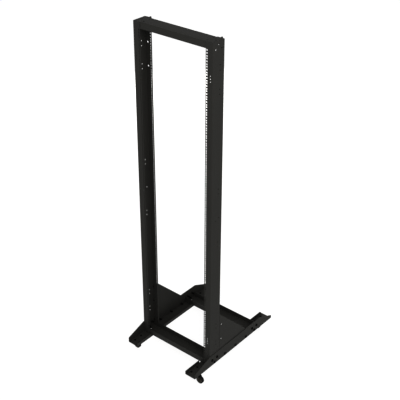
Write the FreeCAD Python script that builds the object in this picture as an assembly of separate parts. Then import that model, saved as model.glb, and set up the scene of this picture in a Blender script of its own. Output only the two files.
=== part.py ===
"""Two post open frame rack: a bolted frame of folded steel sheet on four swivel casters.

Millimetres, +Z up, front towards -Y. The origin is on the floor, midway between the feet in X
and midway along them in Y.
"""
import FreeCAD, Part
import math
import os

from FreeCAD import Vector

# Rack standard: square holes in groups of three per unit, on two columns
UNIT_HEIGHT = 44.45
UNIT_COUNT = 45
UNIT_HOLE_STEPS = (6.35, 22.225, 38.1)
HOLE_COLUMN_SPACING = 465.1
SQUARE_HOLE = 9.5
RACK_OPENING = 450.9

# Posts: folded channels, open towards each other
POST_OUTER_WIDTH = 545.0
POST_DEPTH = 93.0
POST_SHEET = 2.0
POST_BEND_RADIUS = 1.0
POST_LIP_DEPTH = 17.0
REAR_OPENING = 449.0

# Cross members: shallow channels that nest between the post flanges
CROSS_HEIGHT = 36.5
CROSS_SHEET = 2.0
CROSS_BEND_RADIUS = 2.0
CROSS_END_HEIGHT = 52.0
CROSS_END_CLEARANCE = 0.3
CROSS_SIDE_CLEARANCE = 0.3
UNIT_END_MARGIN = 6.75

# Feet: side channels with a tall outer wall and a low inner edge
FOOT_LENGTH = 781.0
FOOT_INNER_WIDTH = 396.0
FOOT_SHEET = 3.0
FOOT_BEND_RADIUS = 1.0
FOOT_WALL_HEIGHT = 80.0
FOOT_FRONT_HEIGHT = 33.0
FOOT_REAR_HEIGHT = 22.0
FOOT_FRONT_SLOPE = 140.0
FOOT_REAR_SLOPE = 126.0
FOOT_BEND_CLEARANCE = 0.3
FOOT_EDGE_HEIGHT = 20.0
FOOT_EDGE_SETBACK = 36.0
FOOT_CORNER_RADIUS = 6.0
FOOT_PLAN_RADIUS = 24.0
FOOT_NOTCH_CLEARANCE = 14.0
CROSS_MEMBER_OFFSET = 203.5

# Gussets: sloping side plates from the back of each post down to its foot
GUSSET_SHEET = 2.0
GUSSET_HEIGHT = 343.0
GUSSET_LENGTH = 312.0
GUSSET_TIP_HEIGHT = 37.0
GUSSET_TOP_LAND = 4.0
GUSSET_FLANGE_WIDTH = 34.0
GUSSET_BEND_RADIUS = 2.0
GUSSET_GAP = 0.3

# Holes
BOLT_HOLE_RADIUS = 4.5
ACCESSORY_HOLE_RADIUS = 3.5
CABLE_HOLE_RADIUS = 5.5
TOP_HOLE_NEAR = 16.6
TOP_HOLE_FAR = 41.0
BASE_HOLE_NEAR = 11.5
BASE_HOLE_FAR = 38.0
END_HOLE_SPREAD = 47.0
PLATE_HOLE_INSET = 55.5
CENTRE_HOLE_INSET = 19.5
ACCESSORY_PAIR_SPACING = 28.5
ACCESSORY_HOLE_BACK = 59.0
ACCESSORY_PAIR_DROPS = (129.0, 262.0, 852.0, 1196.0, 1784.0, 1914.0)
MIDDLE_HOLES = ((66.0, 1037.0), (36.0, 1048.0))
CABLE_HOLE_DROPS = (140.0, 278.0)
CABLE_HOLE_INSET = 17.5
TRIPLE_HOLE_DROPS = (1871.0, 1887.5, 1904.0)
TRIPLE_HOLE_INSET = 19.3
GUSSET_HOLE_BACK = 19.0
GUSSET_HOLE_HEIGHTS = (263.5, 154.0)
FOOT_BOLT_BACKS = (149.0, 257.0, 365.0)
FLANGE_BOLT_HEIGHTS = (55.0, 205.0, 315.0)

# Cable hooks behind the top of each post
HOOK_SHEET = 2.0
HOOK_REACH = 20.0
HOOK_HEIGHT = 30.0
HOOK_FOOT_WIDTH = 16.0
HOOK_INSET = 28.5
HOOK_HOLE_RADIUS = 2.75
HOOK_TOP_RADIUS = 6.0

# Casters
CASTER_HEIGHT = 75.0
CASTER_INSET_X = 39.5
CASTER_INSET_Y = 64.0
CASTER_PLATE_X = 56.0
CASTER_PLATE_Y = 74.0
CASTER_PLATE_THICKNESS = 3.0
CASTER_PLATE_CORNER = 5.0
CASTER_HOLES_X = 38.0
CASTER_HOLES_Y = 55.0
CASTER_TRAIL = 26.0
RACE_RADIUS = 21.0
RACE_HEIGHT = 7.0
RACE_EDGE_RADIUS = 3.0
SWIVEL_GAP = 0.3
KINGPIN_RADIUS = 5.0
KINGPIN_HEAD_RADIUS = 8.0
KINGPIN_HEAD_HEIGHT = 3.0
RUNNING_CLEARANCE = 0.05
CROWN_RADIUS = 20.0
CROWN_HEIGHT = 5.0
FORK_SHEET = 2.5
FORK_INSIDE_WIDTH = 28.0
FORK_LEG_FOOT_RADIUS = 9.0
WHEEL_RADIUS = 25.0
WHEEL_WIDTH = 18.0
TYRE_THICKNESS = 6.0
TYRE_EDGE_RADIUS = 3.0
HUB_RADIUS = 8.0
HUB_SIDE_GAP = 0.5
WHEEL_WEB_THICKNESS = 7.0
AXLE_RADIUS = 4.0
AXLE_HEAD_RADIUS = 7.0
AXLE_HEAD_HEIGHT = 3.5

# Derived places
UNIT_SPACE = UNIT_COUNT * UNIT_HEIGHT
POST_HEIGHT = UNIT_SPACE + 2 * CROSS_HEIGHT + UNIT_END_MARGIN
FOOT_OUTER = POST_OUTER_WIDTH / 2 + FOOT_SHEET
FOOT_INNER = FOOT_INNER_WIDTH / 2
PLATE_TOP = CASTER_HEIGHT + FOOT_SHEET
POST_TOP = PLATE_TOP + POST_HEIGHT
UNIT_TOP = POST_TOP - CROSS_HEIGHT
POST_OUTER = POST_OUTER_WIDTH / 2
POST_CENTRE_Y = -CROSS_MEMBER_OFFSET
POST_FRONT_Y = POST_CENTRE_Y - POST_DEPTH / 2
POST_REAR_Y = POST_CENTRE_Y + POST_DEPTH / 2
CROSS_WIDTH = POST_DEPTH - 2 * POST_SHEET - 2 * CROSS_SIDE_CLEARANCE
CASTER_X = FOOT_OUTER - CASTER_INSET_X
CASTER_Y = FOOT_LENGTH / 2 - CASTER_INSET_Y
TOOL_LENGTH = 40.0


def folded_sheet(corners, thickness, bend_radius, to_point):
    """Face of a sheet folded along corners on its middle surface, with round bends.

    to_point places a point of the flat outline in space.
    """
    half = thickness / 2
    middle_radius = bend_radius + half
    points = [Vector(u, v, 0) for u, v in corners]
    sides = {1: [], -1: []}

    def normal(direction):
        return Vector(-direction.y, direction.x, 0)

    directions = [(b - a).normalize() for a, b in zip(points, points[1:])]
    starts = {side: points[0] + normal(directions[0]) * half * side for side in sides}
    for corner, before, after in zip(points[1:-1], directions, directions[1:]):
        turn = before.getAngle(after)
        left = 1 if before.cross(after).z > 0 else -1
        setback = middle_radius * math.tan(turn / 2)
        entry, leave = corner - before * setback, corner + after * setback
        centre = entry + normal(before) * middle_radius * left
        outward = (corner - centre).normalize()
        for side, edges in sides.items():
            first = entry + normal(before) * half * side
            middle = centre + outward * (middle_radius - left * side * half)
            last = leave + normal(after) * half * side
            edges.append(Part.LineSegment(starts[side], first).toShape())
            edges.append(Part.Arc(first, middle, last).toShape())
            starts[side] = last
    ends = {}
    for side, edges in sides.items():
        ends[side] = points[-1] + normal(directions[-1]) * half * side
        edges.append(Part.LineSegment(starts[side], ends[side]).toShape())
    firsts = {side: points[0] + normal(directions[0]) * half * side for side in sides}
    caps = [Part.LineSegment(firsts[-1], firsts[1]).toShape(),
            Part.LineSegment(ends[1], ends[-1]).toShape()]
    outline = Part.Wire(Part.__sortEdges__(sides[1] + sides[-1] + caps))
    return to_point(Part.Face(outline))


def flat_plan(face):
    """Outline drawn in X and Y."""
    return face


def across_plan(face):
    """Outline drawn in Y and Z, facing along X."""
    face.Placement = FreeCAD.Placement(Vector(), FreeCAD.Rotation(Vector(1, 1, 1), 120))
    return face


def along_plan(face):
    """Outline drawn in X and Z, facing along Y."""
    face.Placement = FreeCAD.Placement(Vector(), FreeCAD.Rotation(Vector(1, 0, 0), 90))
    return face


def polygon_plate(points, thickness_vector):
    """Flat plate from its corner points, thickened along a vector."""
    return Part.Face(Part.makePolygon(points + points[:1])).extrude(thickness_vector)


def drill(x, y, z, radius, direction, length=TOOL_LENGTH):
    """Round cutting tool centred on a point."""
    start = Vector(x, y, z) - direction * (length / 2)
    return Part.makeCylinder(radius, length, start, direction)


def round_edges(shape, radius, chosen):
    """Round the straight edges that a test picks."""
    return shape.makeFillet(radius, [edge for edge in shape.Edges if chosen(edge)])


def runs_along(edge, axis):
    """True for a straight edge that runs along an axis."""
    if len(edge.Vertexes) != 2 or not isinstance(edge.Curve, Part.Line):
        return False
    direction = (edge.Vertexes[1].Point - edge.Vertexes[0].Point).normalize()
    return abs(abs(direction.dot(axis)) - 1) < 1e-6


X_AXIS, Y_AXIS, Z_AXIS = Vector(1, 0, 0), Vector(0, 1, 0), Vector(0, 0, 1)


def mirrored(shape):
    """The left hand copy of a right hand piece."""
    return shape.mirror(Vector(), X_AXIS)


def front_to_back(shape):
    """The rear copy of a front piece."""
    return shape.mirror(Vector(), Y_AXIS)


def end_holes(base_z, upwards, centre_y):
    """The triangle of bolt holes that joins a cross member to a post or foot wall."""
    near, far = (BASE_HOLE_NEAR, BASE_HOLE_FAR) if upwards > 0 else (TOP_HOLE_NEAR, TOP_HOLE_FAR)
    places = [(centre_y, base_z + upwards * near)]
    places += [(centre_y + side * END_HOLE_SPREAD / 2, base_z + upwards * far) for side in (-1, 1)]
    return [drill(POST_OUTER, y, z, BOLT_HOLE_RADIUS, X_AXIS) for y, z in places]


def rail_holes():
    """Square holes through both flanges of a post, three to a unit."""
    length = POST_DEPTH + 2 * POST_SHEET
    column = HOLE_COLUMN_SPACING / 2
    tools = []
    for unit in range(UNIT_COUNT):
        for step in UNIT_HOLE_STEPS:
            z = UNIT_TOP - unit * UNIT_HEIGHT - step
            corner = Vector(column - SQUARE_HOLE / 2, POST_FRONT_Y - POST_SHEET, z - SQUARE_HOLE / 2)
            tools.append(Part.makeBox(SQUARE_HOLE, length, SQUARE_HOLE, corner))
    return tools


def accessory_holes():
    """Round holes down the side of a post, and the two cable holes in its rear flange."""
    tools = []
    for drop in ACCESSORY_PAIR_DROPS:
        for z in (POST_TOP - drop, POST_TOP - drop - ACCESSORY_PAIR_SPACING):
            y = POST_FRONT_Y + ACCESSORY_HOLE_BACK
            tools.append(drill(POST_OUTER, y, z, ACCESSORY_HOLE_RADIUS, X_AXIS))
    for back, drop in MIDDLE_HOLES:
        y = POST_FRONT_Y + back
        tools.append(drill(POST_OUTER, y, POST_TOP - drop, ACCESSORY_HOLE_RADIUS, X_AXIS))
    for drop in CABLE_HOLE_DROPS:
        x = POST_OUTER - CABLE_HOLE_INSET
        tools.append(drill(x, POST_REAR_Y, POST_TOP - drop, CABLE_HOLE_RADIUS, Y_AXIS))
    for drop in TRIPLE_HOLE_DROPS:
        x = POST_OUTER - TRIPLE_HOLE_INSET
        tools.append(drill(x, POST_FRONT_Y, POST_TOP - drop, ACCESSORY_HOLE_RADIUS, Y_AXIS))
    return tools


def flange_bolt_holes(centre_y):
    """Holes that take the gusset's bolts, through the flange at centre_y."""
    x = POST_OUTER - GUSSET_FLANGE_WIDTH / 2
    return [drill(x, centre_y, PLATE_TOP + height, ACCESSORY_HOLE_RADIUS, Y_AXIS)
            for height in FLANGE_BOLT_HEIGHTS]


def post_end_reliefs():
    """Cuts in the lip where the cross members pass, and in the web over the foot's bend."""
    width = POST_SHEET + POST_BEND_RADIUS + 1
    depth = POST_LIP_DEPTH - POST_SHEET + 1
    height = CROSS_HEIGHT + POST_SHEET
    tools = []
    for bottom in (PLATE_TOP - 1, POST_TOP - height):
        corner = Vector(REAR_OPENING / 2 - 1, POST_REAR_Y - POST_LIP_DEPTH - 1, bottom)
        tools.append(Part.makeBox(width, depth, height + 1, corner))
    rise = FOOT_BEND_RADIUS + FOOT_BEND_CLEARANCE
    corner = Vector(POST_OUTER - width, POST_FRONT_Y, PLATE_TOP - 1)
    tools.append(Part.makeBox(width, POST_DEPTH, rise + 1, corner))
    return tools


def make_post():
    """Right hand post: one folded channel with the hole rails and a return lip behind."""
    half = POST_SHEET / 2
    web = POST_OUTER - half
    front = POST_FRONT_Y + half
    rear = POST_REAR_Y - half
    lip = REAR_OPENING / 2 + half
    corners = [(RACK_OPENING / 2, front), (web, front), (web, rear), (lip, rear),
               (lip, POST_REAR_Y - POST_LIP_DEPTH)]
    profile = folded_sheet(corners, POST_SHEET, POST_BEND_RADIUS, flat_plan)
    profile.translate(Vector(0, 0, PLATE_TOP))
    channel = profile.extrude(Vector(0, 0, POST_HEIGHT))
    tools = rail_holes() + accessory_holes() + flange_bolt_holes(POST_REAR_Y)
    tools += end_holes(PLATE_TOP, 1, POST_CENTRE_Y) + end_holes(POST_TOP, -1, POST_CENTRE_Y)
    tools.append(hook_bolt_hole())
    return channel.cut(Part.makeCompound(tools)).cut(Part.makeCompound(post_end_reliefs()))


def make_cross_member(base_z, upwards, centre_y):
    """Channel between the posts or feet, its open side and end flanges pointing upwards or down."""
    half = CROSS_SHEET / 2
    reach = POST_OUTER - POST_SHEET - CROSS_END_CLEARANCE
    if centre_y > 0:
        reach = POST_OUTER - CROSS_END_CLEARANCE
    floor = base_z + upwards * half
    rim = base_z + upwards * CROSS_HEIGHT
    front = centre_y - CROSS_WIDTH / 2 + half
    back = centre_y + CROSS_WIDTH / 2 - half
    corners = [(front, rim), (front, floor), (back, floor), (back, rim)]
    profile = folded_sheet(corners, CROSS_SHEET, CROSS_BEND_RADIUS, across_plan)
    profile.translate(Vector(-reach, 0, 0))
    channel = profile.extrude(Vector(2 * reach, 0, 0))
    inside = CROSS_WIDTH / 2 - CROSS_SHEET - CROSS_BEND_RADIUS
    lower, upper = sorted((base_z, base_z + upwards * CROSS_END_HEIGHT))
    tab = Part.makeBox(CROSS_SHEET, 2 * inside, upper - lower,
                       Vector(reach - CROSS_SHEET, centre_y - inside, lower))
    top = base_z + upwards * CROSS_END_HEIGHT
    tab = round_edges(tab, CROSS_BEND_RADIUS * 3, lambda edge: runs_along(edge, X_AXIS)
                      and abs(edge.CenterOfMass.z - top) < half)
    body = channel.fuse([tab, mirrored(tab)]).removeSplitter()
    # the folded end clears the bend of the foot
    side = centre_y - CROSS_WIDTH / 2
    fold = [Vector(reach, side, base_z), Vector(reach - CROSS_BEND_RADIUS, side, base_z),
            Vector(reach, side, base_z + upwards * CROSS_BEND_RADIUS)]
    bevel = polygon_plate(fold, Vector(0, CROSS_WIDTH, 0))
    body = body.cut(Part.makeCompound([bevel, mirrored(bevel)]))
    holes = []
    for side in (-1, 1):
        for row in (-1, 1):
            x = side * (POST_OUTER - PLATE_HOLE_INSET)
            y = centre_y + row * END_HOLE_SPREAD / 2
            holes.append(drill(x, y, base_z, BOLT_HOLE_RADIUS, Z_AXIS))
        x = side * (POST_OUTER - CENTRE_HOLE_INSET)
        holes.append(drill(x, centre_y, base_z, BOLT_HOLE_RADIUS, Z_AXIS, TOOL_LENGTH / 2))
    sides = end_holes(base_z, upwards, centre_y)
    if upwards < 0:
        sides.append(hook_bolt_hole())
    return body.cut(Part.makeCompound(holes + sides + [mirrored(tool) for tool in sides]))


def foot_outline():
    """Side view of a foot's outer wall, low at both ends."""
    end = FOOT_LENGTH / 2
    front, rear = CASTER_HEIGHT + FOOT_FRONT_HEIGHT, CASTER_HEIGHT + FOOT_REAR_HEIGHT
    high = CASTER_HEIGHT + FOOT_WALL_HEIGHT
    side = [(-end, CASTER_HEIGHT), (-end, front), (FOOT_FRONT_SLOPE - end, high),
            (end - FOOT_REAR_SLOPE, high), (end, rear), (end, CASTER_HEIGHT)]
    return [Vector(FOOT_INNER - 1, y, z) for y, z in side]


def foot_end_cut():
    """Cut at a foot's front inner corner: the edge stops short and the plate is rounded."""
    inner, end = FOOT_INNER, -FOOT_LENGTH / 2
    radius = FOOT_PLAN_RADIUS
    block = Part.makeBox(radius + 1, radius + 1, FOOT_EDGE_HEIGHT, Vector(inner - 1, end - 1, CASTER_HEIGHT - 1))
    keep = Part.makeCylinder(radius, FOOT_EDGE_HEIGHT, Vector(inner + radius, end + radius, CASTER_HEIGHT - 1))
    upstand = Part.makeBox(FOOT_SHEET + FOOT_BEND_RADIUS + 1, FOOT_EDGE_SETBACK + 1, FOOT_EDGE_HEIGHT,
                           Vector(inner - 1, end - 1, PLATE_TOP))
    return block.cut(keep).fuse(upstand)


def make_foot():
    """Right hand foot: a long folded channel, trimmed to its sloping side view."""
    half = FOOT_SHEET / 2
    wall = FOOT_OUTER - half
    floor = CASTER_HEIGHT + half
    corners = [(FOOT_INNER + half, CASTER_HEIGHT + FOOT_EDGE_HEIGHT), (FOOT_INNER + half, floor),
               (wall, floor), (wall, CASTER_HEIGHT + FOOT_WALL_HEIGHT)]
    profile = folded_sheet(corners, FOOT_SHEET, FOOT_BEND_RADIUS, along_plan)
    profile.translate(Vector(0, FOOT_LENGTH / 2, 0))
    channel = profile.extrude(Vector(0, -FOOT_LENGTH, 0))
    trim = polygon_plate(foot_outline(), Vector(FOOT_OUTER - FOOT_INNER + 2, 0, 0))
    foot = channel.common(trim)
    foot = round_edges(foot, FOOT_CORNER_RADIUS, lambda edge: runs_along(edge, X_AXIS)
                       and edge.CenterOfMass.z > PLATE_TOP + FOOT_SHEET
                       and edge.CenterOfMass.x > POST_OUTER)
    notch_width = CROSS_WIDTH + 2 * FOOT_NOTCH_CLEARANCE
    notch_depth = FOOT_SHEET + FOOT_BEND_RADIUS + 1
    tools = []
    for centre_y in (-CROSS_MEMBER_OFFSET, CROSS_MEMBER_OFFSET):
        corner = Vector(FOOT_INNER - 1, centre_y - notch_width / 2, PLATE_TOP)
        tools.append(Part.makeBox(notch_depth, notch_width, FOOT_EDGE_HEIGHT, corner))
        tools += end_holes(PLATE_TOP, 1, centre_y)
        tools.append(drill(POST_OUTER - CENTRE_HOLE_INSET, centre_y, CASTER_HEIGHT,
                           BOLT_HOLE_RADIUS, Z_AXIS, TOOL_LENGTH / 2))
        tools += caster_bolt_holes(math.copysign(CASTER_Y, centre_y))
    tools += gusset_foot_holes()
    foot = foot.cut(Part.makeCompound(tools))
    corner_cut = foot_end_cut()
    return foot.cut(corner_cut).cut(front_to_back(corner_cut))


def caster_bolt_holes(centre_y):
    """Four holes that hold a caster's plate under the foot."""
    return [drill(CASTER_X + i * CASTER_HOLES_X / 2, centre_y + j * CASTER_HOLES_Y / 2,
                  CASTER_HEIGHT, ACCESSORY_HOLE_RADIUS, Z_AXIS, TOOL_LENGTH / 2)
            for i in (-1, 1) for j in (-1, 1)]


def gusset_foot_holes():
    """Row of holes that joins a gusset to the foot's outer wall."""
    return [drill(POST_OUTER, POST_FRONT_Y + back, PLATE_TOP + BASE_HOLE_NEAR,
                  BOLT_HOLE_RADIUS, X_AXIS, TOOL_LENGTH / 2) for back in FOOT_BOLT_BACKS]


def make_gusset():
    """Right hand gusset: a sloping side plate with a flange folded in behind the post."""
    half = GUSSET_SHEET / 2
    plate = POST_OUTER - GUSSET_GAP - half
    front = POST_REAR_Y + GUSSET_GAP + half
    rear = POST_REAR_Y + GUSSET_LENGTH
    corners = [(POST_OUTER - GUSSET_FLANGE_WIDTH, front), (plate, front), (plate, rear)]
    profile = folded_sheet(corners, GUSSET_SHEET, GUSSET_BEND_RADIUS, flat_plan)
    profile.translate(Vector(0, 0, PLATE_TOP))
    blank = profile.extrude(Vector(0, 0, GUSSET_HEIGHT))
    start = POST_REAR_Y
    bottom = PLATE_TOP + FOOT_BEND_RADIUS + FOOT_BEND_CLEARANCE
    side = [(start, bottom), (start, PLATE_TOP + GUSSET_HEIGHT),
            (start + GUSSET_TOP_LAND, PLATE_TOP + GUSSET_HEIGHT),
            (rear, PLATE_TOP + GUSSET_TIP_HEIGHT), (rear, bottom)]
    outline = [Vector(0, y, z) for y, z in side]
    gusset = blank.common(polygon_plate(outline, Vector(FOOT_OUTER, 0, 0)))
    tools = gusset_foot_holes() + flange_bolt_holes(front)
    for height in GUSSET_HOLE_HEIGHTS:
        tools.append(drill(POST_OUTER, POST_REAR_Y + GUSSET_HOLE_BACK, PLATE_TOP + height,
                           BOLT_HOLE_RADIUS, X_AXIS, TOOL_LENGTH / 2))
    return gusset.cut(Part.makeCompound(tools))


def hook_bolt_hole():
    """Hole for the bolt that holds the cable hook, through the rear flange."""
    x = POST_OUTER - HOOK_INSET + HOOK_FOOT_WIDTH / 2
    return drill(x, POST_REAR_Y, POST_TOP - HOOK_HEIGHT / 2, HOOK_HOLE_RADIUS, Y_AXIS)


def make_hook():
    """Right hand cable hook: a small angle that stands out behind the post at its top."""
    half = HOOK_SHEET / 2
    fin = POST_OUTER - HOOK_INSET
    seat = POST_REAR_Y + half
    corners = [(fin + HOOK_FOOT_WIDTH, seat), (fin, seat), (fin, POST_REAR_Y + HOOK_REACH)]
    profile = folded_sheet(corners, HOOK_SHEET, POST_BEND_RADIUS, flat_plan)
    profile.translate(Vector(0, 0, POST_TOP - HOOK_HEIGHT))
    blank = profile.extrude(Vector(0, 0, HOOK_HEIGHT))
    tip = POST_REAR_Y + HOOK_REACH
    blank = round_edges(blank, HOOK_TOP_RADIUS, lambda edge: runs_along(edge, X_AXIS)
                        and abs(edge.CenterOfMass.y - tip) < half)
    return blank.cut(hook_bolt_hole())


def caster_plate():
    """Caster's mounting plate, bolted under the foot."""
    corner = Vector(-CASTER_PLATE_X / 2, -CASTER_PLATE_Y / 2, CASTER_HEIGHT - CASTER_PLATE_THICKNESS)
    plate = Part.makeBox(CASTER_PLATE_X, CASTER_PLATE_Y, CASTER_PLATE_THICKNESS, corner)
    plate = round_edges(plate, CASTER_PLATE_CORNER, lambda edge: runs_along(edge, Z_AXIS))
    tools = [drill(i * CASTER_HOLES_X / 2, j * CASTER_HOLES_Y / 2, CASTER_HEIGHT,
                   ACCESSORY_HOLE_RADIUS, Z_AXIS) for i in (-1, 1) for j in (-1, 1)]
    return plate.cut(Part.makeCompound(tools))


def turned(outline, start, axis):
    """Solid turned from an outline of (radius, height) points about an axis at start."""
    side = Vector(1, 0, 0) if abs(axis.x) < 0.5 else Vector(0, 1, 0)
    points = [start + side * radius + axis * height for radius, height in outline]
    return Part.Face(Part.makePolygon(points + points[:1])).revolve(start, axis, 360)


def caster_race():
    """Pressed ball race under the plate, with the kingpin and its head in one piece."""
    top = CASTER_HEIGHT - CASTER_PLATE_THICKNESS
    bottom = top - RACE_HEIGHT
    pin_bottom = bottom - SWIVEL_GAP - CROWN_HEIGHT - SWIVEL_GAP
    outline = [(0, top), (RACE_RADIUS - RACE_EDGE_RADIUS, top), (RACE_RADIUS, top - RACE_EDGE_RADIUS),
               (RACE_RADIUS, bottom), (KINGPIN_RADIUS, bottom), (KINGPIN_RADIUS, pin_bottom),
               (KINGPIN_HEAD_RADIUS, pin_bottom), (KINGPIN_HEAD_RADIUS, pin_bottom - KINGPIN_HEAD_HEIGHT),
               (0, pin_bottom - KINGPIN_HEAD_HEIGHT)]
    return turned(outline, Vector(), Z_AXIS)


def caster_fork():
    """Pressed fork: a round crown with two legs that reach out and down to the axle."""
    top = CASTER_HEIGHT - CASTER_PLATE_THICKNESS - RACE_HEIGHT - SWIVEL_GAP
    crown_floor = top - CROWN_HEIGHT
    crown = Part.makeCylinder(CROWN_RADIUS, CROWN_HEIGHT, Vector(0, 0, crown_floor))
    leg_y = FORK_INSIDE_WIDTH / 2
    foot = FORK_LEG_FOOT_RADIUS
    axle = Vector(CASTER_TRAIL, leg_y, WHEEL_RADIUS)
    half_width = math.sqrt(CROWN_RADIUS ** 2 - (leg_y + FORK_SHEET) ** 2)
    head = [Vector(-half_width, leg_y, top), Vector(half_width, leg_y, top)]
    head_middle = Vector(0, leg_y, top)
    # the leg's two long edges touch the round end about the axle
    reach = (axle - head_middle).Length
    slope = math.atan2(axle.z - head_middle.z, axle.x - head_middle.x)
    sideways = Vector(-math.sin(slope), 0, math.cos(slope))
    upper, lower = axle + sideways * foot, axle - sideways * foot
    tip = axle + Vector(math.cos(slope), 0, math.sin(slope)) * foot
    edges = [Part.LineSegment(head[0], head[1]).toShape(), Part.LineSegment(head[1], upper).toShape(),
             Part.Arc(upper, tip, lower).toShape(), Part.LineSegment(lower, head[0]).toShape()]
    assert reach > foot
    leg = Part.Face(Part.Wire(edges)).extrude(Vector(0, FORK_SHEET, 0))
    other = leg.mirror(Vector(), Y_AXIS)
    fork = crown.fuse([leg, other])
    tools = [drill(0, 0, crown_floor, KINGPIN_RADIUS + RUNNING_CLEARANCE, Z_AXIS),
             drill(CASTER_TRAIL, 0, WHEEL_RADIUS, AXLE_RADIUS + RUNNING_CLEARANCE, Y_AXIS)]
    return fork.cut(Part.makeCompound(tools)).removeSplitter()


def caster_axle():
    """Axle with a low head at each end, outside the fork's legs."""
    half = FORK_INSIDE_WIDTH / 2 + FORK_SHEET
    outline = [(0, -half - AXLE_HEAD_HEIGHT), (AXLE_HEAD_RADIUS, -half - AXLE_HEAD_HEIGHT),
               (AXLE_HEAD_RADIUS, -half), (AXLE_RADIUS, -half), (AXLE_RADIUS, half),
               (AXLE_HEAD_RADIUS, half), (AXLE_HEAD_RADIUS, half + AXLE_HEAD_HEIGHT),
               (0, half + AXLE_HEAD_HEIGHT)]
    return turned(outline, Vector(CASTER_TRAIL, 0, WHEEL_RADIUS), Y_AXIS)


def wheel_core():
    """Wheel centre: a rim on a thin web, with a hub that runs on the axle."""
    bore = AXLE_RADIUS + RUNNING_CLEARANCE
    hub = FORK_INSIDE_WIDTH / 2 - HUB_SIDE_GAP
    web = WHEEL_WEB_THICKNESS / 2
    rim_outer = WHEEL_RADIUS - TYRE_THICKNESS
    rim_inner = rim_outer - 2
    rim = WHEEL_WIDTH / 2
    half_outline = [(bore, hub), (HUB_RADIUS, hub), (HUB_RADIUS + 1, web), (rim_inner - 1, web),
                    (rim_inner, rim), (rim_outer, rim)]
    outline = half_outline + [(radius, -y) for radius, y in reversed(half_outline)]
    return turned(outline, Vector(CASTER_TRAIL, 0, WHEEL_RADIUS), Y_AXIS)


def wheel_tyre():
    """Tread ring round the wheel's rim."""
    inner = WHEEL_RADIUS - TYRE_THICKNESS
    half = WHEEL_WIDTH / 2
    edge = TYRE_EDGE_RADIUS
    slant = edge * math.sqrt(0.5)
    side = [(inner, half), (WHEEL_RADIUS - edge, half),
            (WHEEL_RADIUS - edge + slant, half - edge + slant), (WHEEL_RADIUS, half - edge)]
    outline = side + [(radius, -y) for radius, y in reversed(side)]
    return turned(outline, Vector(CASTER_TRAIL, 0, WHEEL_RADIUS), Y_AXIS)


def export(name, shape):
    """Write one named piece, after a check that it is sound."""
    if not shape.isValid():
        raise ValueError(name + " is not a valid solid")
    shape.exportStep("parts/" + name + ".step")
    print(name, "solids", len(shape.Solids), "volume", round(shape.Volume))


def place_caster(shape, side, end):
    """Move a caster piece drawn about its kingpin, trailing to +X, under one foot's end.

    The front casters trail outwards and the rear ones inwards.
    """
    placed = shape.copy()
    if side * end > 0:
        placed = placed.mirror(Vector(), X_AXIS)
    placed.translate(Vector(side * CASTER_X, end * CASTER_Y, 0))
    return placed


def main():
    os.makedirs("parts", exist_ok=True)
    pairs = {"post": make_post(), "foot": make_foot(), "gusset": make_gusset(), "cable_hook": make_hook()}
    for name, right in pairs.items():
        export("right_" + name, right)
        export("left_" + name, mirrored(right))
    export("top_cross_member", make_cross_member(POST_TOP, -1, POST_CENTRE_Y))
    export("front_base_cross_member", make_cross_member(PLATE_TOP, 1, -CROSS_MEMBER_OFFSET))
    export("rear_base_cross_member", make_cross_member(PLATE_TOP, 1, CROSS_MEMBER_OFFSET))
    casters = {"caster_plate": caster_plate(), "caster_race": caster_race(), "caster_fork": caster_fork(),
               "caster_axle": caster_axle(), "wheel_core": wheel_core(), "wheel_tyre": wheel_tyre()}
    for end, end_name in ((-1, "front"), (1, "rear")):
        for side, side_name in ((-1, "left"), (1, "right")):
            for name, shape in casters.items():
                export("_".join((end_name, side_name, name)), place_caster(shape, side, end))


main()
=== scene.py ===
import bpy
import bmesh
import math
from mathutils import Matrix, Vector


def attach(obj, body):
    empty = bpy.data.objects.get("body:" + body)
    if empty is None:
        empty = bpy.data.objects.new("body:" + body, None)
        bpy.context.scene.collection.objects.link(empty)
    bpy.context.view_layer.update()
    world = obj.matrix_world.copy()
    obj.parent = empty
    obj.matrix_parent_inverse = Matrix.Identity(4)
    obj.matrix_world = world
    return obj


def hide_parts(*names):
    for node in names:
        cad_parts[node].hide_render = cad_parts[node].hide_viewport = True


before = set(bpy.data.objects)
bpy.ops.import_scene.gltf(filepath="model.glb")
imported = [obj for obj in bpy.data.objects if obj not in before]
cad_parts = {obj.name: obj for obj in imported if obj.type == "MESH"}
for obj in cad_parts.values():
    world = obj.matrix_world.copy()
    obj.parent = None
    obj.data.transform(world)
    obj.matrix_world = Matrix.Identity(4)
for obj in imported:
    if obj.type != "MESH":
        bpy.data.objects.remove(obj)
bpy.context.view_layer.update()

# Posts, cross members, feet, gussets and cable hooks.
# Folded mild steel sheet, punched flat before it was bent, then coated in black powder.
# The coating is a fine orange peel with a low sheen, a little uneven over each sheet.
COATING_COLOUR = (0.0375, 0.0376, 0.0352, 1.0)
COATING_LIGHT = (0.0488, 0.0484, 0.0456, 1.0)
COATING_SPECULAR = 0.085
COATING_ROUGHNESS = 0.5
PEEL_SCALE = 620.0
PEEL_DEPTH = 0.00005
PEEL_DETAIL = 2.0
CLOUD_SCALE, CLOUD_DETAIL = 4.0, 3.0
CLOUD_LOW, CLOUD_HIGH = 0.3, 0.7
SHEEN_SPREAD = 0.05

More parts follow.
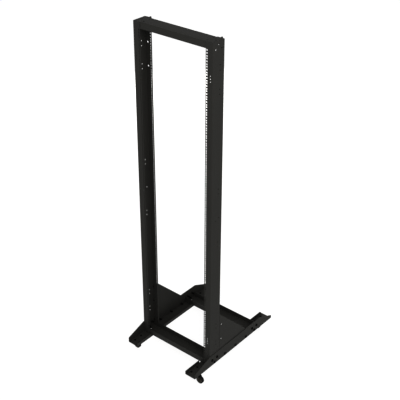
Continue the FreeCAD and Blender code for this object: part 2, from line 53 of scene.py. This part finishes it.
peel = bpy.data.node_groups.new("powder_peel", "ShaderNodeTree")
for name, kind, flow in (("Grain", "NodeSocketFloat", "INPUT"), ("Dark", "NodeSocketColor", "INPUT"),
                         ("Light", "NodeSocketColor", "INPUT"), ("Sheen", "NodeSocketFloat", "INPUT"),
                         ("Depth", "NodeSocketFloat", "INPUT"), ("Colour", "NodeSocketColor", "OUTPUT"),
                         ("Roughness", "NodeSocketFloat", "OUTPUT"), ("Normal", "NodeSocketVector", "OUTPUT")):
    peel.interface.new_socket(name=name, in_out=flow, socket_type=kind)
given = peel.nodes.new("NodeGroupInput")
result = peel.nodes.new("NodeGroupOutput")
place = peel.nodes.new("ShaderNodeTexCoord")
grain = peel.nodes.new("ShaderNodeTexNoise")
grain.inputs["Detail"].default_value = PEEL_DETAIL
cloud = peel.nodes.new("ShaderNodeTexNoise")
cloud.inputs["Scale"].default_value = CLOUD_SCALE
cloud.inputs["Detail"].default_value = CLOUD_DETAIL
blend = peel.nodes.new("ShaderNodeMix")
blend.data_type = "RGBA"
spread = peel.nodes.new("ShaderNodeMapRange")
spread.inputs["From Min"].default_value = CLOUD_LOW
spread.inputs["From Max"].default_value = CLOUD_HIGH
spread.inputs["To Min"].default_value = -SHEEN_SPREAD
spread.inputs["To Max"].default_value = SHEEN_SPREAD
sheen = peel.nodes.new("ShaderNodeMath")
bump = peel.nodes.new("ShaderNodeBump")
bump.inputs["Strength"].default_value = 1.0
for source, target in ((place.outputs["Object"], grain.inputs["Vector"]),
                       (place.outputs["Object"], cloud.inputs["Vector"]),
                       (given.outputs["Grain"], grain.inputs["Scale"]),
                       (cloud.outputs["Fac"], blend.inputs["Factor"]),
                       (given.outputs["Dark"], blend.inputs[6]), (given.outputs["Light"], blend.inputs[7]),
                       (blend.outputs[2], result.inputs["Colour"]),
                       (cloud.outputs["Fac"], spread.inputs["Value"]),
                       (spread.outputs["Result"], sheen.inputs[0]), (given.outputs["Sheen"], sheen.inputs[1]),
                       (sheen.outputs["Value"], result.inputs["Roughness"]),
                       (grain.outputs["Fac"], bump.inputs["Height"]),
                       (given.outputs["Depth"], bump.inputs["Distance"]),
                       (bump.outputs["Normal"], result.inputs["Normal"])):
    peel.links.new(source, target)


def coated(name, dark, light, roughness, grain_scale, depth, metallic=0.0, specular=0.5):
    """A finish whose colour, roughness and relief come from the peel group."""
    material = bpy.data.materials.new(name)
    material.use_nodes = True
    nodes, links = material.node_tree.nodes, material.node_tree.links
    shader = nodes["Principled BSDF"]
    shader.inputs["Metallic"].default_value = metallic
    shader.inputs["Specular IOR Level"].default_value = specular
    effect = nodes.new("ShaderNodeGroup")
    effect.node_tree = peel
    effect.inputs["Grain"].default_value = grain_scale
    effect.inputs["Dark"].default_value = dark
    effect.inputs["Light"].default_value = light
    effect.inputs["Sheen"].default_value = roughness
    effect.inputs["Depth"].default_value = depth
    links.new(effect.outputs["Colour"], shader.inputs["Base Color"])
    links.new(effect.outputs["Roughness"], shader.inputs["Roughness"])
    links.new(effect.outputs["Normal"], shader.inputs["Normal"])
    return material


black_powder = coated("black_powder", COATING_COLOUR, COATING_LIGHT, COATING_ROUGHNESS, PEEL_SCALE, PEEL_DEPTH,
                      specular=COATING_SPECULAR)
SIDES = (("left", -1.0), ("right", 1.0))
sheet_pieces = ["top_cross_member", "front_base_cross_member", "rear_base_cross_member"]
for side, _ in SIDES:
    sheet_pieces += [side + "_post", side + "_foot", side + "_gusset", side + "_cable_hook"]
for node in sheet_pieces:
    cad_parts[node].material_slots[0].material = black_powder

# Feet: long folded channels whose inner edge runs the whole length, square at the front and sloped off behind.
# The frame's feet stop that edge short and round the plate's corners, so their ends are drawn out to the real ones.
FOOT_INNER_X = 0.198
FOOT_END_Y = 0.3905
FOOT_PLATE_TOP = 0.078
FOOT_EDGE_STOP = 0.3545
FOOT_EDGE_TOP = 0.095
FOOT_EDGE_REAL_TOP = 0.099
FOOT_CORNER_RADIUS = 0.024
FOOT_EDGE_SLANT = 0.020
FOOT_EDGE_WIDTH = 0.0042
WELD_DISTANCE = 1e-6
AT_THE_PLACE = 1e-4
ON_THE_ARC = 3e-4
PAST_THE_ARC = 1e-5


def sheet_copy(node):
    """A merged copy of a folded sheet of the frame, to be worked on."""
    form = bmesh.new()
    form.from_mesh(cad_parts[node].data)
    bmesh.ops.remove_doubles(form, verts=form.verts, dist=WELD_DISTANCE)
    return form


def sheet_piece(form, node, name):
    """The worked copy, standing for its node."""
    bmesh.ops.dissolve_degenerate(form, dist=WELD_DISTANCE, edges=form.edges)
    mesh = bpy.data.meshes.new(name)
    form.to_mesh(mesh)
    form.free()
    mesh.materials.append(black_powder)
    piece = bpy.data.objects.new(name, mesh)
    bpy.context.scene.collection.objects.link(piece)
    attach(piece, "rack_frame")
    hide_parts(node)
    return piece


def on_round_corner(inward, along, height):
    """True on the rounded corner of a foot's plate, from its distances inwards, along the foot and up."""
    across, past = FOOT_CORNER_RADIUS - inward, along - (FOOT_END_Y - FOOT_CORNER_RADIUS)
    return (across > -PAST_THE_ARC and past > -PAST_THE_ARC and height < FOOT_PLATE_TOP + AT_THE_PLACE
            and abs(math.hypot(across, past) - FOOT_CORNER_RADIUS) < ON_THE_ARC)


def on_edge_stop(inward, along, height):
    """True where the inner edge of a foot stops short."""
    return (abs(along - FOOT_EDGE_STOP) < AT_THE_PLACE and inward < FOOT_EDGE_WIDTH
            and height > FOOT_PLATE_TOP - AT_THE_PLACE)


for side, _ in SIDES:
    form = sheet_copy(side + "_foot")
    for vert in form.verts:
        inward, along, height = abs(vert.co.x) - FOOT_INNER_X, abs(vert.co.y), vert.co.z
        end = math.copysign(FOOT_END_Y, vert.co.y)
        if on_round_corner(inward, along, height):
            vert.co.y = end
        elif on_edge_stop(inward, along, height):
            rise = (height - FOOT_PLATE_TOP) / (FOOT_EDGE_TOP - FOOT_PLATE_TOP)
            vert.co.y = end - (FOOT_EDGE_SLANT * rise if end > 0 else 0.0)
        if inward < FOOT_EDGE_WIDTH and abs(height - FOOT_EDGE_TOP) < AT_THE_PLACE:
            vert.co.z = FOOT_EDGE_REAL_TOP
    sheet_piece(form, side + "_foot", side + "_foot_channel")

# Top cross member: the channel between the post tops, with wide holes in its folded ends.
# The holes let the bolt holes of the posts' webs show daylight, as on the real one.
TOP_END_X = 0.268
TOP_END_HOLES = ((-0.2035, 2.1414), (-0.2270, 2.1170), (-0.1800, 2.1170))
END_HOLE_RADIUS = 0.0045
END_HOLE_WIDE = 0.0070
ON_THE_RIM = 2e-4
form = sheet_copy("top_cross_member")
for vert in form.verts:
    for y, z in TOP_END_HOLES:
        reach = Vector((0.0, vert.co.y - y, vert.co.z - z))
        if abs(vert.co.x) > TOP_END_X and abs(reach.length - END_HOLE_RADIUS) < ON_THE_RIM:
            vert.co += reach * (END_HOLE_WIDE / END_HOLE_RADIUS - 1.0)
sheet_piece(form, "top_cross_member", "top_channel")

# Posts: folded channels, with a group of three small holes near the top of each front flange as well as near its foot.
# They are the frame's posts with that upper group punched through, and the return lip behind cut narrower.
UPPER_TRIPLE_X = 0.2557
UPPER_TRIPLE_HEIGHTS = (1.9805, 1.9646, 1.9488)
UPPER_TRIPLE_RADIUS = 0.0030
PUNCH_LENGTH = 0.010
PUNCH_SIDES = 24
POST_FRONT_Y = -0.250
LIP_EDGE_Y = -0.174
LIP_EDGE_REAL_Y = -0.1660
for side, way in SIDES:
    punch = bmesh.new()
    for height in UPPER_TRIPLE_HEIGHTS:
        seat = Matrix.Translation((way * UPPER_TRIPLE_X, POST_FRONT_Y, height))
        bmesh.ops.create_cone(punch, cap_ends=True, segments=PUNCH_SIDES, radius1=UPPER_TRIPLE_RADIUS,
                              radius2=UPPER_TRIPLE_RADIUS, depth=PUNCH_LENGTH,
                              matrix=seat @ Matrix.Rotation(math.pi / 2, 4, "X"))
    punch_mesh = bpy.data.meshes.new("punch")
    punch.to_mesh(punch_mesh)
    punch.free()
    punch_tool = bpy.data.objects.new("punch", punch_mesh)
    bpy.context.scene.collection.objects.link(punch_tool)
    form = sheet_copy(side + "_post")
    for vert in form.verts:
        if abs(vert.co.y - LIP_EDGE_Y) < AT_THE_PLACE:
            vert.co.y = LIP_EDGE_REAL_Y
    piece = sheet_piece(form, side + "_post", side + "_post_channel")
    cut = piece.modifiers.new("punch", "BOOLEAN")
    cut.operation = "DIFFERENCE"
    cut.solver = "EXACT"
    cut.object = punch_tool
    whole = piece.data
    piece.data = bpy.data.meshes.new_from_object(piece.evaluated_get(bpy.context.evaluated_depsgraph_get()))
    piece.modifiers.clear()
    bpy.data.objects.remove(punch_tool)
    bpy.data.meshes.remove(punch_mesh)
    bpy.data.meshes.remove(whole)

# Casters: plates, races, forks and axles.
# Pressed steel, plated dark and rubbed a little brighter in places, round a moulded wheel core with a rubber tyre.
# Roughness, grain scale and grain depth follow each pair of colours.
PLATING = ((0.020, 0.020, 0.0185, 1.0), (0.055, 0.051, 0.041, 1.0), 0.42, 900.0, 0.00002)
HUB = ((0.050, 0.047, 0.038, 1.0), (0.084, 0.075, 0.060, 1.0), 0.45, 700.0, 0.00003)
RUBBER = ((0.010, 0.010, 0.010, 1.0), (0.018, 0.018, 0.018, 1.0), 0.65, 1200.0, 0.00004)
dark_plating = coated("dark_plating", *PLATING, metallic=0.3, specular=0.3)
hub_plastic = coated("hub_plastic", *HUB, specular=0.4)
tread = coated("tread", *RUBBER, specular=0.10)
corners = [end + "_" + side for end in ("front", "rear") for side, _ in SIDES]
for corner in corners:
    for piece in ("caster_plate", "caster_race", "caster_fork", "caster_axle"):
        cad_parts[corner + "_" + piece].material_slots[0].material = dark_plating
    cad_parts[corner + "_wheel_core"].material_slots[0].material = hub_plastic
    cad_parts[corner + "_wheel_tyre"].material_slots[0].material = tread

# Bolts through the feet: a triangle at each end of a cross member, and a row along each gusset.
# Short flanged button heads in black oxide, darkened past it with painted shade, driven in from outside, with a
# flanged nut behind the sheets.
# Partly real black oxide, partly painted shade: near black, so the bolts also carry the shade of their holes and the
# shadows round them.
BLACK_OXIDE_AND_SHADE = ((0.0030, 0.0030, 0.0032, 1.0), (0.0070, 0.0070, 0.0070, 1.0), 0.55, 1500.0, 0.00001)
COATED_NUT = ((0.012, 0.012, 0.0113, 1.0), (0.020, 0.020, 0.0187, 1.0), 0.5, 1500.0, 0.00001)
FOOT_WALL_X = 0.2755
BOLT_ROW_HEIGHT = 0.0895
BOLT_PAIR_HEIGHT = 0.116
BOLT_PAIR_SPREAD = 0.047
CROSS_MEMBER_Y = 0.2035
GUSSET_BOLT_Y = (-0.101, 0.007, 0.115)
NUT_FACE_X = {"front": 0.2682, "gusset": 0.2702, "rear": 0.2702}
FOOT_BOLT_FLANGE = 0.0092
FOOT_BOLT_LENGTH = 0.020
FOOT_NUT_FLANGE = 0.0080
FOOT_NUT_DEPTH = 0.0065
TURNED_SIDES = 24
# Shares of a bolt's flange radius, then of a nut's flange radius and of its depth.
SHANK_SHARE, SOCKET_SHARE, SOCKET_DEPTH_SHARE = 0.5, 0.34, 0.3
HEAD_OUTLINE = ((1.0, 0.0), (1.0, 0.13), (0.86, 0.18), (0.80, 0.38), (0.66, 0.52), (0.48, 0.56))
NUT_TAPER_SHARE, NUT_HEXAGON_SHARE, NUT_EASE_SHARE = 0.9, 0.78, 0.08
NUT_FLANGE_DEPTH_SHARE = 0.2
black_oxide_and_shade = coated("black_oxide_and_shade", *BLACK_OXIDE_AND_SHADE, specular=0.06)
coated_nut = coated("coated_nut", *COATED_NUT, specular=0.08)


def rings_of(form, height):
    """Edges that lie flat at one height."""
    return [edge for edge in form.edges if all(abs(vert.co.z - height) < WELD_DISTANCE for vert in edge.verts)]


def put_in_order(form):
    """Number the vertices by place, then edges and faces by their vertices, so that each run gives the same mesh."""
    def by_place(vert):
        return tuple(vert.co)

    def by_vertices(part):
        return sorted(vert.index for vert in part.verts)

    for parts, rank in ((form.verts, by_place), (form.edges, by_vertices), (form.faces, by_vertices)):
        for number, part in enumerate(sorted(parts, key=rank)):
            part.index = number
        parts.sort()
        parts.index_update()


def button_bolt(name, flange, length):
    """One bolt standing on its head's seat: turned head and shank, with a hexagon socket."""
    shank, top = flange * SHANK_SHARE, flange * HEAD_OUTLINE[-1][1]
    outline = [(shank, -length), (shank, 0.0)] + [(flange * out, flange * up) for out, up in HEAD_OUTLINE]
    form = bmesh.new()
    line = [form.verts.new((radius, 0.0, height)) for radius, height in outline]
    runs = [form.edges.new(pair) for pair in zip(line, line[1:])]
    bmesh.ops.spin(form, geom=line + runs, cent=(0.0, 0.0, 0.0), axis=(0.0, 0.0, 1.0), angle=math.tau,
                   steps=TURNED_SIDES, use_merge=True)
    lip = rings_of(form, top)
    bmesh.ops.contextual_create(form, geom=rings_of(form, -length))
    socket = bmesh.ops.create_circle(form, segments=6, radius=flange * SOCKET_SHARE,
                                     matrix=Matrix.Translation((0.0, 0.0, top)))
    hexagon = [edge for edge in form.edges if all(vert in socket["verts"] for vert in edge.verts)]
    bmesh.ops.bridge_loops(form, edges=lip + hexagon)
    sunk = bmesh.ops.extrude_edge_only(form, edges=hexagon)["geom"]
    bmesh.ops.translate(form, verts=[part for part in sunk if isinstance(part, bmesh.types.BMVert)],
                        vec=(0.0, 0.0, -flange * SOCKET_DEPTH_SHARE))
    bmesh.ops.contextual_create(form, geom=[part for part in sunk if isinstance(part, bmesh.types.BMEdge)
                                            and abs(part.verts[0].co.z - part.verts[1].co.z) < WELD_DISTANCE])
    bmesh.ops.recalc_face_normals(form, faces=form.faces)
    put_in_order(form)
    mesh = bpy.data.meshes.new(name)
    form.to_mesh(mesh)
    form.free()
    return mesh


def flanged_nut(name, flange, depth):
    """One nut standing on its flange: a hexagon with its top corners eased."""
    form = bmesh.new()
    skirt, hexagon_radius = depth * NUT_FLANGE_DEPTH_SHARE, flange * NUT_HEXAGON_SHARE
    bmesh.ops.create_cone(form, cap_ends=True, segments=TURNED_SIDES, radius1=flange,
                          radius2=flange * NUT_TAPER_SHARE, depth=skirt,
                          matrix=Matrix.Translation((0.0, 0.0, skirt / 2)))
    hexagon = bmesh.ops.create_cone(form, cap_ends=True, segments=6, radius1=hexagon_radius,
                                    radius2=hexagon_radius, depth=depth,
                                    matrix=Matrix.Translation((0.0, 0.0, depth / 2)))
    top = [edge for edge in rings_of(form, depth) if edge.verts[0] in hexagon["verts"]]
    bmesh.ops.bevel(form, geom=top, offset=flange * NUT_EASE_SHARE, offset_type="OFFSET", affect="EDGES",
                    segments=2, profile=0.5, material=-1)
    mesh = bpy.data.meshes.new(name)
    form.to_mesh(mesh)
    form.free()
    return mesh


def set_fasteners(name, pattern, seats, finish, body="rack_frame"):
    """Copies of one fastener at each (place, direction), as a single piece."""
    form = bmesh.new()
    for place, direction in seats:
        count = len(form.verts)
        form.from_mesh(pattern)
        form.verts.ensure_lookup_table()
        turn = Vector(direction).to_track_quat("Z", "Y").to_matrix().to_4x4()
        bmesh.ops.transform(form, matrix=Matrix.Translation(place) @ turn, verts=form.verts[count:])
    mesh = bpy.data.meshes.new(name)
    form.to_mesh(mesh)
    form.free()
    for face in mesh.polygons:
        face.use_smooth = len(face.vertices) == 4
    mesh.materials.append(finish)
    piece = bpy.data.objects.new(name, mesh)
    bpy.context.scene.collection.objects.link(piece)
    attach(piece, body)
    return piece


foot_bolt = button_bolt("foot_bolt", FOOT_BOLT_FLANGE, FOOT_BOLT_LENGTH)
foot_nut = flanged_nut("foot_nut", FOOT_NUT_FLANGE, FOOT_NUT_DEPTH)
bolt_rows = [("gusset", y, BOLT_ROW_HEIGHT) for y in GUSSET_BOLT_Y]
for end, middle in (("front", -CROSS_MEMBER_Y), ("rear", CROSS_MEMBER_Y)):
    bolt_rows += [(end, middle, BOLT_ROW_HEIGHT), (end, middle - BOLT_PAIR_SPREAD / 2, BOLT_PAIR_HEIGHT),
                  (end, middle + BOLT_PAIR_SPREAD / 2, BOLT_PAIR_HEIGHT)]
for side, way in SIDES:
    set_fasteners(side + "_foot_bolts", foot_bolt,
                  [((way * FOOT_WALL_X, y, z), (way, 0.0, 0.0)) for _, y, z in bolt_rows], black_oxide_and_shade)
    set_fasteners(side + "_foot_nuts", foot_nut,
                  [((way * NUT_FACE_X[stack], y, z), (-way, 0.0, 0.0)) for stack, y, z in bolt_rows],
                  coated_nut)

# Bolts that hold the gussets and the cable hooks to the rear flanges of the posts.
# The same black bolts in a smaller size, driven in from behind, with their nuts inside the post.
GUSSET_FLANGE_PLACE = (0.2555, -0.1547)
GUSSET_FLANGE_HEIGHTS = (0.393, 0.283, 0.133)
REAR_FLANGE_INSIDE_Y = -0.159
HOOK_SCREW_PLACE = (0.252, -0.155, 2.143)
TOP_CHANNEL_INSIDE_Y = -0.1613
FLANGE_BOLT_SIZE, FLANGE_NUT_SIZE = (0.0062, 0.014), (0.0068, 0.0055)
HOOK_SCREW_SIZE, HOOK_NUT_SIZE = (0.0050, 0.012), (0.0055, 0.0045)
flange_bolt = button_bolt("flange_bolt", *FLANGE_BOLT_SIZE)
flange_nut = flanged_nut("flange_nut", *FLANGE_NUT_SIZE)
hook_screw = button_bolt("hook_screw", *HOOK_SCREW_SIZE)
hook_nut = flanged_nut("hook_nut", *HOOK_NUT_SIZE)
for side, way in SIDES:
    x, y = GUSSET_FLANGE_PLACE
    set_fasteners(side + "_gusset_bolts", flange_bolt,
                  [((way * x, y, z), (0.0, 1.0, 0.0)) for z in GUSSET_FLANGE_HEIGHTS], black_oxide_and_shade)
    set_fasteners(side + "_gusset_nuts", flange_nut,
                  [((way * x, REAR_FLANGE_INSIDE_Y, z), (0.0, -1.0, 0.0)) for z in GUSSET_FLANGE_HEIGHTS],
                  black_powder)
    x, y, z = HOOK_SCREW_PLACE
    set_fasteners(side + "_hook_screw", hook_screw, [((way * x, y, z), (0.0, 1.0, 0.0))], black_oxide_and_shade)
    set_fasteners(side + "_hook_nut", hook_nut, [((way * x, TOP_CHANNEL_INSIDE_Y, z), (0.0, -1.0, 0.0))],
                  black_oxide_and_shade)

# Bolts that hold the caster plates under the feet, four to a caster.
# Black bolts with their heads on the foot's floor, and plain nuts under the plate.
CASTER_PLACE = (0.2360, 0.3265)
CASTER_BOLT_SPREAD = (0.038, 0.055)
FOOT_FLOOR_HEIGHT = 0.078
CASTER_PLATE_UNDERSIDE = 0.072
CASTER_BOLT_SIZE, CASTER_NUT_SIZE = (0.0066, 0.012), (0.0060, 0.0050)
caster_bolt = button_bolt("caster_bolt", *CASTER_BOLT_SIZE)
caster_nut = flanged_nut("caster_nut", *CASTER_NUT_SIZE)
for corner in corners:
    x = CASTER_PLACE[0] * (1.0 if "right" in corner else -1.0)
    y = CASTER_PLACE[1] * (1.0 if "rear" in corner else -1.0)
    spots = [(x + i * CASTER_BOLT_SPREAD[0] / 2, y + j * CASTER_BOLT_SPREAD[1] / 2) for i in (-1, 1) for j in (-1, 1)]
    set_fasteners(corner + "_caster_bolts", caster_bolt,
                  [((a, b, FOOT_FLOOR_HEIGHT), (0.0, 0.0, 1.0)) for a, b in spots], black_oxide_and_shade)
    set_fasteners(corner + "_caster_nuts", caster_nut,
                  [((a, b, CASTER_PLATE_UNDERSIDE), (0.0, 0.0, -1.0)) for a, b in spots], dark_plating)

# Floor: a plain pale sheet that the casters stand on, lit evenly from below like a light table.
# It is not attached to the rack.
FLOOR_SIZE = 60.0
FLOOR_GLOW = 0.90
FLOOR_COLOUR = (0.14, 0.14, 0.14, 1.0)
floor_mesh = bpy.data.meshes.new("floor")
floor_form = bmesh.new()
bmesh.ops.create_grid(floor_form, x_segments=1, y_segments=1, size=FLOOR_SIZE / 2)
floor_form.to_mesh(floor_mesh)
floor_form.free()
floor = bpy.data.objects.new("floor", floor_mesh)
bpy.context.scene.collection.objects.link(floor)
floor_finish = bpy.data.materials.new("pale_floor")
floor_finish.use_nodes = True
floor_shader = floor_finish.node_tree.nodes["Principled BSDF"]
floor_shader.inputs["Base Color"].default_value = FLOOR_COLOUR
floor_shader.inputs["Roughness"].default_value = 1.0
floor_shader.inputs["Specular IOR Level"].default_value = 0.0
floor_shader.inputs["Emission Color"].default_value = (1.0, 1.0, 1.0, 1.0)
floor_shader.inputs["Emission Strength"].default_value = FLOOR_GLOW
floor_mesh.materials.append(floor_finish)

# Light: a white surround, dimmer overhead, with a large soft panel high on the front right.
# A smaller panel behind on the left, low enough to miss the top plate, shows the form from the back.
SURROUND_LOW, SURROUND_HIGH = 1.0, 0.75
FADE_START, FADE_END = 0.1, 0.3
PANEL_COLOUR = (1.0, 0.975, 0.93)
PANELS = (("front_panel", 240.0, 4.0, (3.5, -3.0, 4.5)), ("back_panel", 150.0, 1.9, (-3.4, 3.2, 1.15)))
PANEL_AIM = Vector((0.0, 0.0, 1.0))
surround = bpy.data.worlds.new("surround")
surround.use_nodes = True
surround_nodes, surround_links = surround.node_tree.nodes, surround.node_tree.links
toward = surround_nodes.new("ShaderNodeTexCoord")
height = surround_nodes.new("ShaderNodeSeparateXYZ")
fade = surround_nodes.new("ShaderNodeMapRange")
fade.inputs["From Min"].default_value = FADE_START
fade.inputs["From Max"].default_value = FADE_END
fade.inputs["To Min"].default_value = SURROUND_LOW
fade.inputs["To Max"].default_value = SURROUND_HIGH
surround_links.new(toward.outputs["Generated"], height.inputs["Vector"])
surround_links.new(height.outputs["Z"], fade.inputs["Value"])
surround_links.new(fade.outputs["Result"], surround_nodes["Background"].inputs["Strength"])
surround_nodes["Background"].inputs["Color"].default_value = (1.0, 1.0, 1.0, 1.0)
bpy.context.scene.world = surround
for name, energy, size, spot in PANELS:
    panel_light = bpy.data.lights.new(name, "AREA")
    panel_light.size = size
    panel_light.energy = energy
    panel_light.color = PANEL_COLOUR
    panel = bpy.data.objects.new(name, panel_light)
    panel.location = spot
    panel.rotation_euler = (PANEL_AIM - panel.location).to_track_quat("-Z", "Y").to_euler()
    bpy.context.scene.collection.objects.link(panel)

# Picture: plain tones, without a film curve.
# The low gamma lets thin dark edges keep their weight against the white.
PICTURE_GAMMA = 0.7
bpy.context.scene.view_settings.view_transform = "Standard"
bpy.context.scene.view_settings.gamma = PICTURE_GAMMA

# Camera: above the front right corner, looking down at the whole rack.
# Its heading, dip and roll are in degrees and its lens in millimetres.
CAMERA_PLACE = (2.8350, -3.4442, 3.6576)
CAMERA_HEADING = math.radians(-39.606)
CAMERA_DIP = math.radians(30.306)
CAMERA_ROLL = math.radians(0.229)
CAMERA_LENS = 78.364
CAMERA_SENSOR = 36.0
CAMERA_REACH = 200.0
look = Vector((math.sin(CAMERA_HEADING) * math.cos(CAMERA_DIP),
               math.cos(CAMERA_HEADING) * math.cos(CAMERA_DIP), -math.sin(CAMERA_DIP)))
level = Vector((math.cos(CAMERA_HEADING), -math.sin(CAMERA_HEADING), 0.0))
upright = level.cross(look)
across = level * math.cos(CAMERA_ROLL) + upright * math.sin(CAMERA_ROLL)
upright = upright * math.cos(CAMERA_ROLL) - level * math.sin(CAMERA_ROLL)
camera_data = bpy.data.cameras.new("camera")
camera_data.lens = CAMERA_LENS
camera_data.sensor_width = CAMERA_SENSOR
camera_data.clip_end = CAMERA_REACH
camera = bpy.data.objects.new("camera", camera_data)
camera.matrix_world = Matrix.Translation(CAMERA_PLACE) @ Matrix((across, upright, -look)).transposed().to_4x4()
bpy.context.scene.collection.objects.link(camera)
bpy.context.scene.camera = camera
